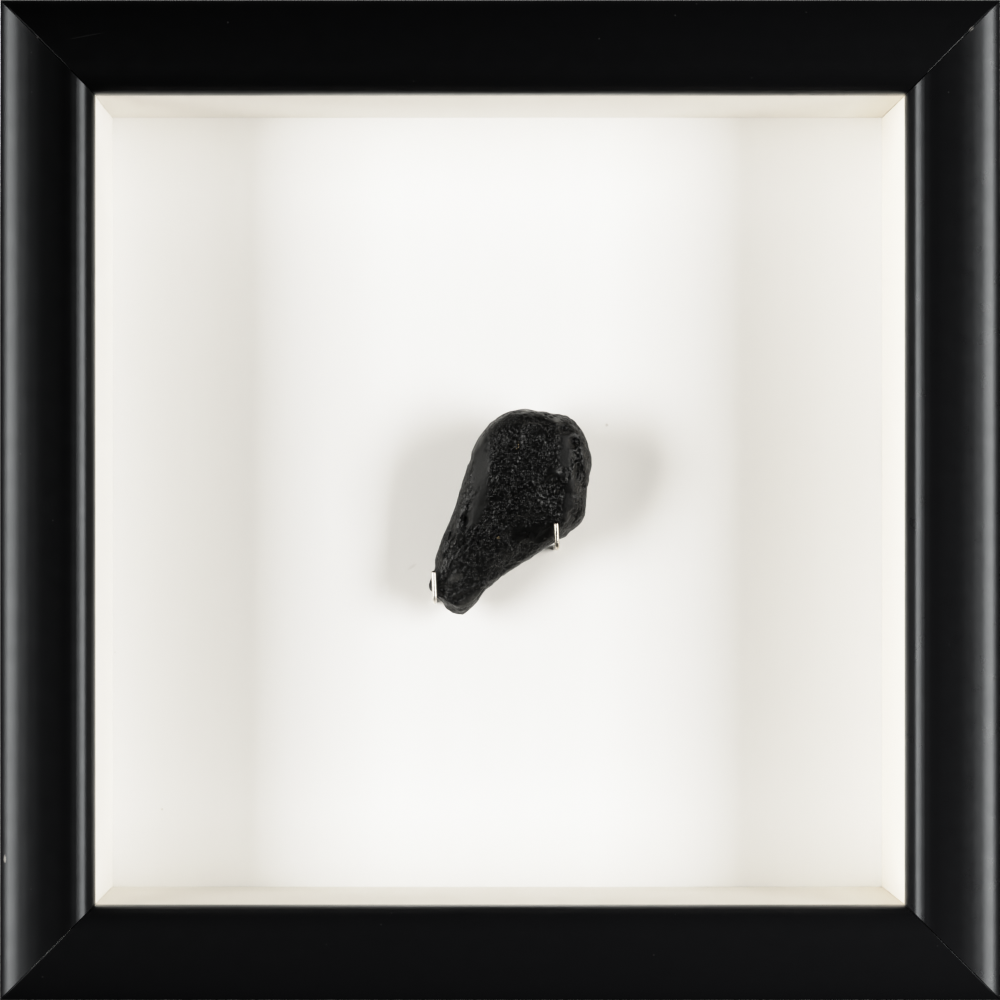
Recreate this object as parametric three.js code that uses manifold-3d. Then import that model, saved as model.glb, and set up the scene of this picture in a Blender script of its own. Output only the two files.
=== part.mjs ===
// A pear-shaped tektite, held by two bent silver wires in a black lacquered shadow-box frame.
//
// Millimetres. +X is right, +Y runs from the open front to the wall side, +Z is up. The frame
// stands on its bottom rail: the origin is under the middle of it, at half of the whole depth.

import * as THREE from "three";
import { mergeVertices } from "three/addons/utils/BufferGeometryUtils.js";
import { ImprovedNoise } from "three/addons/math/ImprovedNoise.js";
import Module from "manifold-3d";

// ---------------------------------------------------------------- driving dimensions

const GAP = 0.3; // clearance between neighbours

// Frame: four mitred lengths of one moulding
const FRAME_SIDE = 219;
const RAIL_WIDTH = 20.5; // outer edge to sight edge
const RAIL_DEPTH = 52; // crown to back
const LIP_BACK = 6.5; // back of the lip, behind the crown
const RABBET_WALL = 15; // outer edge to the wall of the rabbet
const MOULDING = [
  // face of the moulding: in from the outer edge, back from the crown
  [0, 3.0],
  [0.3, 2.52],
  [1.3, 1.92],
  [3.55, 1.116],
  [6.85, 0.45],
  [9.5, 0.14],
  [13.4, 0],
  [15.35, 0.195],
  [17.3, 0.824],
  [18.55, 1.5],
  [19.7, 2.54],
  [20.35, 3.45],
  [20.5, 4.15],
];
const CURVE_STEPS = 2; // straight steps between two points of the moulding

// What fills the box, front to back
const LINING_THICK = 5;
const BOX_DEPTH = 36.3; // back of the lip to the face of the backing board
const BACKING_THICK = 4;
const PANEL_THICK = 2.5;

// Points that keep the panel in: two in each rail
const POINT = { wide: 5.5, long: 14, thick: 0.5, inWood: 6, shoulder: 3.3, spacing: 96 };

// Hanger and its nails, on the back of the top rail
const HANGER = { wide: 46, high: 9, thick: 0.8, ear: 7, standOff: 1.2, ramp: 2, teeth: 9, tooth: 3 };
const NAIL = { diameter: 1.2, long: 9, head: 3.2, headThick: 0.7, sides: 8, headSides: 12 };

// Claws: one round wire, as bent
const WIRE = { diameter: 1.1, sides: 8, bend: 1.5, steps: 30, tail: 12, holeSides: 12 };
const CLAW_LEFT = { tip: [-14.7, 93.2], heel: [-14.45, 86.7] }; // x and z of the wire's middle
const CLAW_RIGHT = { tip: [13.0, 104.3], heel: [13.3, 98.9] };

// Tektite
const STONE_X = 3.85;
const STONE_Z = 108.7;
const STONE_LEAN = THREE.MathUtils.degToRad(27); // its long axis, from the vertical to the right
const STONE_HALF_LENGTH = 26;
const STONE_HALF_WIDTH = 14;
const STONE_DETAIL = 18; // cuts along each edge of the ball that it is shaped from
const OUTLINE_SAMPLES = 720;
const STONE_OUTLINE = [
  // seen from the front: right and up from the stone's middle, clockwise from the top
  [2.1, 21.9],
  [6.3, 21.3],
  [12.0, 20.2],
  [14.1, 18.2],
  [15.9, 15.3],
  [17.2, 11.3],
  [17.2, 7.2],
  [16.4, 3.6],
  [16.0, -1.9],
  [14.5, -4.5],
  [10.4, -7.5],
  [6.3, -10.2],
  [2.4, -13.1],
  [-3.2, -16.8],
  [-6.15, -18.85],
  [-7.2, -19.6],
  [-7.6, -21.0],
  [-9.45, -23.15],
  [-12.1, -25.5],
  [-14.4, -24.85],
  [-17.4, -22.0],
  [-18.9, -20.1],
  [-19.6, -18.8],
  [-19.1, -17.0],
  [-18.3, -14.55],
  [-17.95, -11.15],
  [-14.15, -1.75],
  [-12.0, 6.25],
  [-10.3, 11.15],
  [-8.2, 15.4],
  [-5.2, 18.75],
  [-1.4, 21.1],
];
// Where the widest section lies off the backing board, and how far the stone reaches before and
// behind it, at the narrow and at the wide end
const STONE_TAIL = { off: 8.2, front: 4.6, back: 8.6 };
const STONE_HEAD = { off: 13.4, front: 8.2, back: 13.9 };
const HEAD_STARTS = 0.55; // full thickness from here up, as a share of the half length
const SQUARENESS = { front: 3.4, back: 2.1 }; // of the cross-section: 2 is an ellipse, more is boxier

// Flats on the stone: the way each faces, and how deep it bites into the round form. A smooth one
// is spared the dents.
const FLATS = [
  { faces: [0, -1, 0], bite: 0.6 }, // face
  { faces: [-0.2, -0.97, 0.09], bite: 0.35, smooth: true }, // left flank
  { faces: [-0.43, -0.9, 0.1], bite: 0.5, smooth: true }, // outer edge of it
  { faces: [0.2, -0.97, 0.06], bite: 0.42, smooth: true }, // right patch
  { faces: [0.3, -0.5, 0.8], bite: 0.9, smooth: true }, // rim of the wide end
  { faces: [0.45, -0.38, -0.81], bite: 1.0, smooth: true }, // long lower edge
  { faces: [0.55, -0.45, -0.7], bite: 0.8 }, // broken end, right of its ridge
  { faces: [-0.4, -0.5, -0.77], bite: 0.9 }, // broken end, left of its ridge
  { faces: [-0.62, 0.74, 0.26], bite: 1.4 },
  { faces: [0.66, 0.7, -0.28], bite: 1.2 },
  { faces: [0.2, 0.72, 0.66], bite: 1.3 },
];
const FLAT_HARDNESS = 0.85;
const SMOOTH_WITHIN = Math.cos(THREE.MathUtils.degToRad(14)); // of the way the flat faces

// Pits that can be told apart from a step away: right and up from the middle, how far each
// reaches sideways and upwards, and how deep it is. One with a negative depth is a knob.
const PITS = [
  { at: [-11.2, -3.4], reach: [1.2, 2.4], depth: 1.1 },
  { at: [-14.8, -6.4], reach: [1.1, 1.5], depth: 0.6 },
  { at: [-14.9, -8.7], reach: [1.1, 1.5], depth: 0.6 },
  { at: [-15.1, -11.0], reach: [1.1, 1.5], depth: 0.5 },
  { at: [-16.2, -18.9], reach: [1.5, 1.5], depth: 0.6 },
  { at: [-10.0, -18.4], reach: [1.6, 1.2], depth: 0.6 },
  { at: [7.5, 3.2], reach: [4.5, 4.0], depth: 0.6 },
  { at: [7.9, 7.6], reach: [2.6, 1.5], depth: -0.45 },
  { at: [3.4, 14.6], reach: [4.2, 3.5], depth: 0.6 },
  { at: [11.0, 17.4], reach: [2.1, 1.9], depth: 0.8 },
  { at: [13.2, 14.1], reach: [1.8, 2.0], depth: 0.8 },
  { at: [14.1, 10.7], reach: [1.8, 2.0], depth: 0.9 },
  { at: [14.4, 7.5], reach: [1.5, 2.4], depth: 0.9 },
  { at: [15.0, 3.9], reach: [1.5, 1.9], depth: 0.8 },
  { at: [13.2, -2.6], reach: [2.1, 1.8], depth: 0.7 },
  { at: [3.7, -3.3], reach: [4.0, 1.1], depth: 0.4 },
];

// What only roughens the stone: soft lumps, and small dents sown all over it
const LUMPS = [
  { size: 11, height: 0.4 },
  { size: 4.5, height: 0.15 },
];
const LUMPS_SHIFT = new THREE.Vector3(31.4, 5.2, 12.7); // picks a stretch of the noise
const DENTS = { count: 620, reach: [1.1, 2.1], depth: [0.08, 0.22], seed: 7 };

// ---------------------------------------------------------------- worked out from them

const HALF = FRAME_SIDE / 2;
const MITRE_CUT = (GAP / 2) * Math.SQRT2; // shortens each end of a rail
const WHOLE_DEPTH = RAIL_DEPTH + HANGER.standOff + HANGER.thick + GAP;
const FRONT_Y = -WHOLE_DEPTH / 2; // crown of the moulding
const RAIL_BACK_Y = FRONT_Y + RAIL_DEPTH;
const LIP_Y = FRONT_Y + LIP_BACK;
const LINING_Y = LIP_Y + GAP;
const BACKING_Y = LIP_Y + BOX_DEPTH;
const PANEL_Y = BACKING_Y + BACKING_THICK + GAP;
const POINT_Y = PANEL_Y + PANEL_THICK + GAP;
const FILLING_SIDE = FRAME_SIDE - 2 * (RABBET_WALL + GAP); // boards and panel
const WIRE_RADIUS = WIRE.diameter / 2;
const TAIL_Y = BACKING_Y + BACKING_THICK - WIRE_RADIUS - GAP / 3; // wire sunk in the board's back
const HANGER_Z = FRAME_SIDE - RABBET_WALL / 2;
const NAILS_X = [-1, 1].map((side) => (side * (HANGER.wide - HANGER.ear)) / 2);

const wasm = await Module();
wasm.setup();

// ---------------------------------------------------------------- finishes

const finish = (colour, roughness, metalness = 0) =>
  new THREE.MeshStandardMaterial({ color: colour, roughness, metalness });

const BLACK_LACQUER = finish(0x0d0d0e, 0.35);
const CREAM_BOARD = finish(0xf2efe8, 0.9);
const WHITE_BOARD = finish(0xf7f6f3, 0.9);
const SILVER = finish(0xd9d9d6, 0.15, 1);
const NATURAL_GLASS = finish(0x141414, 0.4);
const HARDBOARD = finish(0x7a5a3c, 0.8);
const STEEL = finish(0x9a9c9e, 0.4, 1);
const BRASSED_STEEL = finish(0xb08d4a, 0.35, 1);

// ---------------------------------------------------------------- solids

// One closed surface: corners shared, positions only, faces pointing out.
function welded(geometry) {
  const shell = geometry.index ? geometry.toNonIndexed() : geometry.clone();
  shell.deleteAttribute("normal");
  shell.deleteAttribute("uv");
  const solid = mergeVertices(shell, 1e-4);
  if (signedVolume(solid) < 0) turnOver(solid);
  return solid;
}

function signedVolume(geometry) {
  const { index, attributes } = geometry;
  const corner = [new THREE.Vector3(), new THREE.Vector3(), new THREE.Vector3()];
  let volume = 0;
  for (let i = 0; i < index.count; i += 3) {
    corner.forEach((c, k) => c.fromBufferAttribute(attributes.position, index.getX(i + k)));
    volume += corner[0].dot(corner[1].cross(corner[2])) / 6;
  }
  return volume;
}

function turnOver({ index }) {
  for (let i = 0; i < index.count; i += 3) {
    const second = index.getX(i + 1);
    index.setX(i + 1, index.getX(i + 2));
    index.setX(i + 2, second);
  }
}

// Lets change() edit the place of every corner.
function reshape(geometry, change) {
  const place = geometry.attributes.position;
  const point = new THREE.Vector3();
  for (let i = 0; i < place.count; i++) {
    change(point.fromBufferAttribute(place, i), i);
    place.setXYZ(i, point.x, point.y, point.z);
  }
  return geometry;
}

function toManifold(geometry) {
  const solid = welded(geometry);
  return new wasm.Manifold(
    new wasm.Mesh({
      numProp: 3,
      vertProperties: new Float32Array(solid.attributes.position.array),
      triVerts: new Uint32Array(solid.index.array),
    }),
  );
}

function toGeometry(manifold) {
  const mesh = manifold.getMesh();
  const geometry = new THREE.BufferGeometry();
  geometry.setAttribute("position", new THREE.BufferAttribute(new Float32Array(mesh.vertProperties), 3));
  geometry.setIndex(new THREE.BufferAttribute(new Uint32Array(mesh.triVerts), 1));
  return geometry;
}

function cut(body, tools) {
  const carved = tools.reduce((solid, tool) => solid.subtract(toManifold(tool)), toManifold(body));
  return toGeometry(carved);
}

function join(first, ...others) {
  const whole = others.reduce((solid, other) => solid.add(toManifold(other)), toManifold(first));
  return toGeometry(whole);
}

// A flat outline from its corners
const drawn = (corners) => new THREE.Shape(corners.map(([x, y]) => new THREE.Vector2(x, y)));

// A box from its lowest corner and its size
function block([x, y, z], [wide, deep, high]) {
  const box = new THREE.BoxGeometry(wide, deep, high);
  return box.translate(x + wide / 2, y + deep / 2, z + high / 2);
}

// A round bar along +Y
function bar(x, z, fromY, toY, diameter, sides) {
  const cylinder = new THREE.CylinderGeometry(diameter / 2, diameter / 2, toY - fromY, sides);
  return cylinder.translate(0, (fromY + toY) / 2, 0).translate(x, 0, z);
}

function named(name, geometry, material) {
  const shell = welded(geometry);
  shell.computeVertexNormals();
  const mesh = new THREE.Mesh(shell, material);
  mesh.name = name;
  return mesh;
}

// ---------------------------------------------------------------- frame

// Section of the moulding: x is in from the outer edge, y is back from the crown.
function railSection() {
  const section = new THREE.Shape();
  const face = MOULDING.map(([across, behind]) => new THREE.Vector2(across, behind));
  section.moveTo(0, RAIL_DEPTH);
  section.lineTo(0, face[0].y);
  section.splineThru(face.slice(1));
  section.lineTo(RAIL_WIDTH, LIP_BACK);
  section.lineTo(RABBET_WALL, LIP_BACK);
  section.lineTo(RABBET_WALL, RAIL_DEPTH);
  return section;
}

// The bottom rail, seen from the middle of the frame: its ends are mitred at 45 degrees.
function railBlank() {
  const blank = new THREE.ExtrudeGeometry(railSection(), {
    depth: 1,
    bevelEnabled: false,
    curveSegments: CURVE_STEPS,
  });
  return reshape(blank, (p) => {
    const across = p.x;
    const behind = Math.max(p.y, 0);
    const side = p.z < 0.5 ? -1 : 1;
    p.set(side * (HALF - across - MITRE_CUT), FRONT_Y + behind, across - HALF);
  });
}

// The saw cuts that take the points, in the wall of the rabbet
function pointSlots() {
  const wide = POINT.wide + 2 * GAP;
  const thick = POINT.thick + 2 * GAP;
  const foot = RABBET_WALL - POINT.inWood - HALF;
  return [-1, 1].map((side) => {
    const left = (side * POINT.spacing - wide) / 2;
    return block([left, POINT_Y - GAP, foot], [wide, thick, POINT.inWood + 1]);
  });
}

// The top rail is the bottom one turned half round, so its nail holes are bored at the foot.
function nailHoles() {
  const up = HALF - HANGER_Z;
  const foot = RAIL_BACK_Y - NAIL.long;
  const clear = NAIL.diameter + 2 * GAP;
  return NAILS_X.map((x) => bar(x, up, foot, RAIL_BACK_Y + 1, clear, NAIL.sides));
}

function frameRails() {
  const rails = new THREE.Group();
  const plain = cut(railBlank(), pointSlots());
  const bored = cut(plain, nailHoles());
  const around = [
    ["frame_rail_bottom", 0, plain],
    ["frame_rail_right", -1, plain],
    ["frame_rail_top", 2, bored],
    ["frame_rail_left", 1, plain],
  ];
  for (const [name, quarterTurns, geometry] of around) {
    const rail = named(name, geometry, BLACK_LACQUER);
    rail.rotation.y = (quarterTurns * Math.PI) / 2;
    rail.position.z = HALF;
    rails.add(rail);
  }
  return rails;
}

// ---------------------------------------------------------------- filling of the box

// Strips that line the walls: the top and bottom ones run through, the side ones stand between.
function linings() {
  const strips = new THREE.Group();
  const left = -FILLING_SIDE / 2;
  const bottom = HALF - FILLING_SIDE / 2;
  const deep = BACKING_Y - GAP - LINING_Y;
  const far = FILLING_SIDE - LINING_THICK;
  const between = FILLING_SIDE - 2 * (LINING_THICK + GAP);
  const sideFoot = bottom + LINING_THICK + GAP;
  const layout = [
    ["lining_bottom", [left, LINING_Y, bottom], [FILLING_SIDE, deep, LINING_THICK]],
    ["lining_top", [left, LINING_Y, bottom + far], [FILLING_SIDE, deep, LINING_THICK]],
    ["lining_left", [left, LINING_Y, sideFoot], [LINING_THICK, deep, between]],
    ["lining_right", [left + far, LINING_Y, sideFoot], [LINING_THICK, deep, between]],
  ];
  for (const [name, corner, size] of layout) strips.add(named(name, block(corner, size), CREAM_BOARD));
  return strips;
}

// The board has a hole for each wire, and a groove in its back, as deep as the bend, for the tail.
function backingBoard() {
  const low = HALF - FILLING_SIDE / 2;
  const board = block([-FILLING_SIDE / 2, BACKING_Y, low], [FILLING_SIDE, BACKING_THICK, FILLING_SIDE]);
  const clear = WIRE.diameter + 2 * GAP;
  const openings = [CLAW_LEFT, CLAW_RIGHT].flatMap(({ heel: [x, z] }) => [
    bar(x, z, BACKING_Y - 1, BACKING_Y + BACKING_THICK + 1, clear, WIRE.holeSides),
    block(
      [x - clear / 2, TAIL_Y - WIRE.bend, z - WIRE.tail - GAP],
      [clear, BACKING_THICK, WIRE.tail + GAP],
    ),
  ]);
  return named("backing_board", cut(board, openings), WHITE_BOARD);
}

function backPanel() {
  const low = HALF - FILLING_SIDE / 2;
  const panel = block([-FILLING_SIDE / 2, PANEL_Y, low], [FILLING_SIDE, PANEL_THICK, FILLING_SIDE]);
  return named("back_panel", panel, HARDBOARD);
}

// A flat steel tongue, pointed where it is driven into the bottom rail
function pointBlank() {
  const half = POINT.wide / 2;
  const outline = drawn([
    [0, 0],
    [half, POINT.shoulder],
    [half, POINT.long],
    [-half, POINT.long],
    [-half, POINT.shoulder],
  ]);
  const tongue = new THREE.ExtrudeGeometry(outline, { depth: POINT.thick, bevelEnabled: false });
  const tip = RABBET_WALL - POINT.inWood + GAP - HALF;
  return tongue.rotateX(Math.PI / 2).translate(0, POINT_Y + POINT.thick, tip);
}

function panelPoints() {
  const points = new THREE.Group();
  let number = 1;
  for (let quarter = 0; quarter < 4; quarter++) {
    for (const side of [-1, 1]) {
      const tongue = pointBlank().translate(side * (POINT.spacing / 2), 0, 0);
      const point = named(`panel_point_${number++}`, tongue, STEEL);
      point.rotation.y = (quarter * Math.PI) / 2;
      point.position.z = HALF;
      points.add(point);
    }
  }
  return points;
}

// ---------------------------------------------------------------- hanger

// Seen from above: flat ears on the rail, and a middle that stands off it
function hangerStrip() {
  const end = HANGER.wide / 2;
  const foot = end - HANGER.ear;
  const top = foot - HANGER.ramp;
  const low = RAIL_BACK_Y + GAP;
  const high = low + HANGER.standOff;
  const face = [
    [-end, low],
    [-foot, low],
    [-top, high],
    [top, high],
    [foot, low],
    [end, low],
  ];
  const back = face.map(([x, y]) => [x, y + HANGER.thick]).reverse();
  const plate = new THREE.ExtrudeGeometry(drawn([...face, ...back]), {
    depth: HANGER.high,
    bevelEnabled: false,
  });
  return plate.translate(0, 0, HANGER_Z - HANGER.high / 2);
}

// Three-cornered notches that leave the teeth along the foot of the strip
function hangerNotches() {
  const foot = HANGER_Z - HANGER.high / 2;
  const deep = WHOLE_DEPTH; // right through the strip
  return Array.from({ length: HANGER.teeth }, (_, i) => {
    const x = (i - HANGER.teeth / 2) * HANGER.tooth;
    const notch = drawn([
      [x, foot - 1],
      [x + HANGER.tooth, foot - 1],
      [x + HANGER.tooth / 2, foot + HANGER.tooth / 2],
    ]);
    const wedge = new THREE.ExtrudeGeometry(notch, { depth: deep, bevelEnabled: false });
    return wedge.rotateX(Math.PI / 2).translate(0, deep, 0);
  });
}

function hangerNail(name, x) {
  const headY = RAIL_BACK_Y + GAP + HANGER.thick + GAP / 3;
  const shank = bar(x, HANGER_Z, RAIL_BACK_Y - NAIL.long + 1, headY + GAP / 3, NAIL.diameter, NAIL.sides);
  const head = bar(x, HANGER_Z, headY, headY + NAIL.headThick, NAIL.head, NAIL.headSides);
  return named(name, join(shank, head), BRASSED_STEEL);
}

function hanger() {
  const fixings = new THREE.Group();
  const clear = NAIL.diameter + 2 * GAP;
  const holes = NAILS_X.map((x) => bar(x, HANGER_Z, RAIL_BACK_Y, WHOLE_DEPTH, clear, NAIL.sides));
  const plate = cut(hangerStrip(), [...hangerNotches(), ...holes]);
  fixings.add(named("sawtooth_hanger", plate, BRASSED_STEEL));
  fixings.add(hangerNail("hanger_nail_left", NAILS_X[0]), hangerNail("hanger_nail_right", NAILS_X[1]));
  return fixings;
}

// ---------------------------------------------------------------- tektite

// Distance from the middle to the outline, for a direction seen from the front
function outlineReach() {
  const whole = 2 * Math.PI;
  const corners = STONE_OUTLINE.map(([x, z]) => new THREE.Vector3(x, 0, z));
  const ring = new THREE.CatmullRomCurve3(corners, true, "centripetal").getPoints(OUTLINE_SAMPLES);
  const polar = ring.map((p) => [Math.atan2(p.z, p.x), Math.hypot(p.x, p.z)]);
  polar.sort((a, b) => a[0] - b[0]);
  return (angle) => {
    const next = polar.findIndex(([a]) => a > angle);
    const [a1, r1] = polar[next < 0 ? 0 : next];
    const [a0, r0] = polar[(next < 1 ? polar.length : next) - 1];
    const span = (a1 - a0 + whole) % whole || 1;
    const along = ((angle - a0 + whole) % whole) / span;
    return THREE.MathUtils.lerp(r0, r1, THREE.MathUtils.clamp(along, 0, 1));
  };
}

// A ball stretched to the outline, thicker at the wide end and with its back to the board
function stoneForm() {
  const reach = outlineReach();
  const right = Math.sin(STONE_LEAN);
  const up = Math.cos(STONE_LEAN);
  return reshape(welded(new THREE.IcosahedronGeometry(1, STONE_DETAIL)), (p) => {
    p.normalize();
    const long = (p.x * right + p.z * up) * STONE_HALF_LENGTH;
    const wide = (p.x * up - p.z * right) * STONE_HALF_WIDTH;
    const angle = Math.atan2(long * up - wide * right, long * right + wide * up);
    const side = p.y < 0 ? "front" : "back";
    const flat = Math.hypot(p.x, p.z);
    const power = SQUARENESS[side];
    const size = (flat ** power + Math.abs(p.y) ** power) ** (-1 / power);
    const radius = reach(angle) * flat * size;
    const x = radius * Math.cos(angle);
    const z = radius * Math.sin(angle);
    const along = z / STONE_HALF_LENGTH;
    const headward = THREE.MathUtils.smoothstep(along, -1, HEAD_STARTS);
    const there = (measure) => THREE.MathUtils.lerp(STONE_TAIL[measure], STONE_HEAD[measure], headward);
    p.set(x, BACKING_Y - there("off") + p.y * size * there(side), z);
  });
}

// Pushes what stands out past a flat back to it
function flatten(geometry, faces, bite) {
  const way = new THREE.Vector3(...faces).normalize();
  let furthest = -Infinity;
  reshape(geometry, (p) => {
    furthest = Math.max(furthest, p.dot(way));
  });
  reshape(geometry, (p) => {
    const proud = p.dot(way) - (furthest - bite);
    if (proud > 0) p.addScaledVector(way, -proud * FLAT_HARDNESS);
  });
}

// A repeatable stream of numbers from 0 to 1
function randomFrom(seed) {
  let state = seed;
  return () => {
    state = (state * 16807) % 2147483647;
    return state / 2147483647;
  };
}

// Moves each corner along its normal by what height() says, positive outwards
function emboss(geometry, height) {
  geometry.computeVertexNormals();
  const normal = new THREE.Vector3();
  reshape(geometry, (p, i) => {
    p.addScaledVector(normal.fromBufferAttribute(geometry.attributes.normal, i), height(p));
  });
}

// 1 in the middle of a round hollow, falling softly to 0 at its rim
const bowl = (distance) => (distance < 1 ? (1 - distance * distance) ** 2 : 0);

const noise = new ImprovedNoise();

function lumpHeight(p) {
  return LUMPS.reduce((sum, { size, height }) => {
    const q = p.clone().divideScalar(size).add(LUMPS_SHIFT);
    return sum + height * noise.noise(q.x, q.y, q.z);
  }, 0);
}

function pitDepth(p) {
  if (p.y > BACKING_Y - STONE_TAIL.off) return 0;
  return PITS.reduce((sum, { at, reach, depth }) => {
    const distance = Math.hypot((p.x - at[0]) / reach[0], (p.z - at[1]) / reach[1]);
    return sum + depth * bowl(distance);
  }, 0);
}

const dentDepth = (dents, p) =>
  dents.reduce((sum, { centre, reach, depth }) => sum + depth * bowl(p.distanceTo(centre) / reach), 0);

function onSmoothFlat(normal) {
  const turnedTo = (faces) => normal.dot(new THREE.Vector3(...faces).normalize());
  return FLATS.some(({ faces, smooth }) => smooth && turnedTo(faces) > SMOOTH_WITHIN);
}

function sownDents(geometry) {
  geometry.computeVertexNormals();
  const { position, normal } = geometry.attributes;
  const random = randomFrom(DENTS.seed);
  const mix = ([low, high], share) => low + (high - low) * share;
  const dents = Array.from({ length: DENTS.count }, () => {
    const corner = Math.floor(random() * position.count);
    const share = random();
    return {
      centre: new THREE.Vector3().fromBufferAttribute(position, corner),
      faces: new THREE.Vector3().fromBufferAttribute(normal, corner),
      reach: mix(DENTS.reach, share),
      depth: mix(DENTS.depth, share),
    };
  });
  return dents.filter(({ faces }) => !onSmoothFlat(faces));
}

// The small flat spot where the back of the stone rests on the board
function restOnBoard(geometry) {
  reshape(geometry, (p) => {
    p.y = Math.min(p.y, BACKING_Y - GAP);
  });
}

function tektite() {
  const stone = stoneForm();
  FLATS.forEach(({ faces, bite }) => flatten(stone, faces, bite));
  emboss(stone, lumpHeight);
  const dents = sownDents(stone);
  emboss(stone, (p) => -dentDepth(dents, p));
  emboss(stone, (p) => -pitDepth(p));
  stone.translate(STONE_X, 0, STONE_Z);
  restOnBoard(stone);
  return named("tektite", stone, NATURAL_GLASS);
}

// ---------------------------------------------------------------- claws

// Straight runs with a round bend at each corner
function bentRoute(corners) {
  const route = new THREE.CurvePath();
  let from = corners[0];
  for (let i = 1; i < corners.length - 1; i++) {
    const into = corners[i].clone().sub(corners[i - 1]).setLength(WIRE.bend);
    const out = corners[i + 1].clone().sub(corners[i]).setLength(WIRE.bend);
    const start = corners[i].clone().sub(into);
    const end = corners[i].clone().add(out);
    route.add(new THREE.LineCurve3(from, start));
    route.add(new THREE.QuadraticBezierCurve3(start, corners[i], end));
    from = end;
  }
  route.add(new THREE.LineCurve3(from, corners.at(-1)));
  return route;
}

// How far back the face of the stone lies under a stretch of the prong
function stoneFace(stone, [x0, z0], [x1, z1]) {
  const ray = new THREE.Raycaster();
  const back = new THREE.Vector3(0, 1, 0);
  let nearest = Infinity;
  for (let along = 0; along <= 1; along += 0.2) {
    for (const aside of [-1, -0.5, 0, 0.5, 1]) {
      const x = THREE.MathUtils.lerp(x0, x1, along) + aside * (WIRE_RADIUS + GAP / 2);
      const z = THREE.MathUtils.lerp(z0, z1, along);
      ray.set(new THREE.Vector3(x, FRONT_Y, z), back);
      const hit = ray.intersectObject(stone)[0];
      if (hit) nearest = Math.min(nearest, hit.point.y);
    }
  }
  return nearest;
}

// From the tip on the face of the stone down to the heel, back through the board and down
function claw(name, { tip, heel }, stone) {
  const middle = [(tip[0] + heel[0]) / 2, (tip[1] + heel[1]) / 2];
  const clear = WIRE_RADIUS + GAP;
  const tipY = stoneFace(stone, tip, middle) - clear;
  const heelY = Math.min(tipY + WIRE.diameter, stoneFace(stone, middle, heel) - clear);
  const corners = [
    new THREE.Vector3(tip[0], tipY, tip[1]),
    new THREE.Vector3(heel[0], heelY, heel[1]),
    new THREE.Vector3(heel[0], TAIL_Y, heel[1]),
    new THREE.Vector3(heel[0], TAIL_Y, heel[1] - WIRE.tail),
  ];
  const round = new THREE.Shape().absarc(0, 0, WIRE_RADIUS, 0, 2 * Math.PI);
  const wire = new THREE.ExtrudeGeometry(round, {
    steps: WIRE.steps,
    curveSegments: WIRE.sides / 2,
    bevelEnabled: false,
    extrudePath: bentRoute(corners),
  });
  const knob = new THREE.SphereGeometry(WIRE_RADIUS * 0.98, WIRE.sides, 6).translate(...corners[0]);
  return named(name, join(wire, knob), SILVER);
}

// ---------------------------------------------------------------- whole

const framedTektite = new THREE.Group();
const stone = tektite();
stone.updateMatrixWorld();
framedTektite.add(frameRails(), linings(), backingBoard(), backPanel(), panelPoints(), hanger());
framedTektite.add(stone, claw("claw_left", CLAW_LEFT, stone), claw("claw_right", CLAW_RIGHT, stone));

export default framedTektite;
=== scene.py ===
# %% [markdown]
# # A tektite in a shadow-box frame
#
# A pear-shaped lump of black natural glass is held by two bent silver wires to a white board,
# in a deep box with cream walls, behind a black lacquered moulding. The solids of the part come
# in first and stay where they are. Each piece is then either given a finish, or rebuilt beside
# its solid with the roundness and the small marks that the solid leaves out.
#
# Everything is in metres, as the part is: X is right, Y runs from the front to the wall, Z is up.

# %% Load the part
import math

import bpy
import numpy as np
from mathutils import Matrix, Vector, kdtree


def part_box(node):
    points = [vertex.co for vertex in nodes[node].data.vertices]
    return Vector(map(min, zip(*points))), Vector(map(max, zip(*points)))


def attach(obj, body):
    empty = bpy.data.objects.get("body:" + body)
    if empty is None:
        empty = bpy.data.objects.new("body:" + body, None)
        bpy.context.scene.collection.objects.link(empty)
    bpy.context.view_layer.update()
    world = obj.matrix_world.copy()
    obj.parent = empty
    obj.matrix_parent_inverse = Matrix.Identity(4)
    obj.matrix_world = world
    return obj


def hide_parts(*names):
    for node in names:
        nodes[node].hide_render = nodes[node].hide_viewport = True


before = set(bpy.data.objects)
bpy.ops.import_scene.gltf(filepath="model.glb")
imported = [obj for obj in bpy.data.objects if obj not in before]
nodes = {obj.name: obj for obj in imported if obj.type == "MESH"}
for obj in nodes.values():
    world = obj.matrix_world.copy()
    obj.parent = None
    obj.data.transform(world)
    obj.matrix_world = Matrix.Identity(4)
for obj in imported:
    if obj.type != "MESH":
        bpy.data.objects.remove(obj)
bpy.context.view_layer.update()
MM = 0.001

# %% [markdown]
# ## Measures taken from the solids
#
# A new piece has to land exactly on the solid that it stands for. Typing its place in again
# invites mistakes, so the places are read from the boxes of the solids instead.

# %% Where things are
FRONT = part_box("frame_rail_bottom")[0].y  # crown of the moulding
RAIL_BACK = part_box("frame_rail_bottom")[1].y
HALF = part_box("frame_rail_top")[1].z / 2  # half of the outer side of the frame
BOARD_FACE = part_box("backing_board")[0].y
print(f"frame {2 * HALF / MM:.0f} mm square, board {(BOARD_FACE - FRONT) / MM:.1f} mm behind the crown")

# %% [markdown]
# ## Small helpers for modelling
#
# Blender's operators act on whatever is selected, and the loaded solids arrive selected, so every
# step starts from an empty selection. A finished piece keeps its origin at the origin of the part,
# with its place in its mesh, which is what the last line of `settle` makes sure of.


# %% Selecting and finishing pieces
def select_none():
    if bpy.context.object and bpy.context.object.mode != "OBJECT":
        bpy.ops.object.mode_set(mode="OBJECT")
    bpy.ops.object.select_all(action="DESELECT")


def select_only(piece):
    select_none()
    piece.select_set(True)
    bpy.context.view_layer.objects.active = piece


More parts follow.
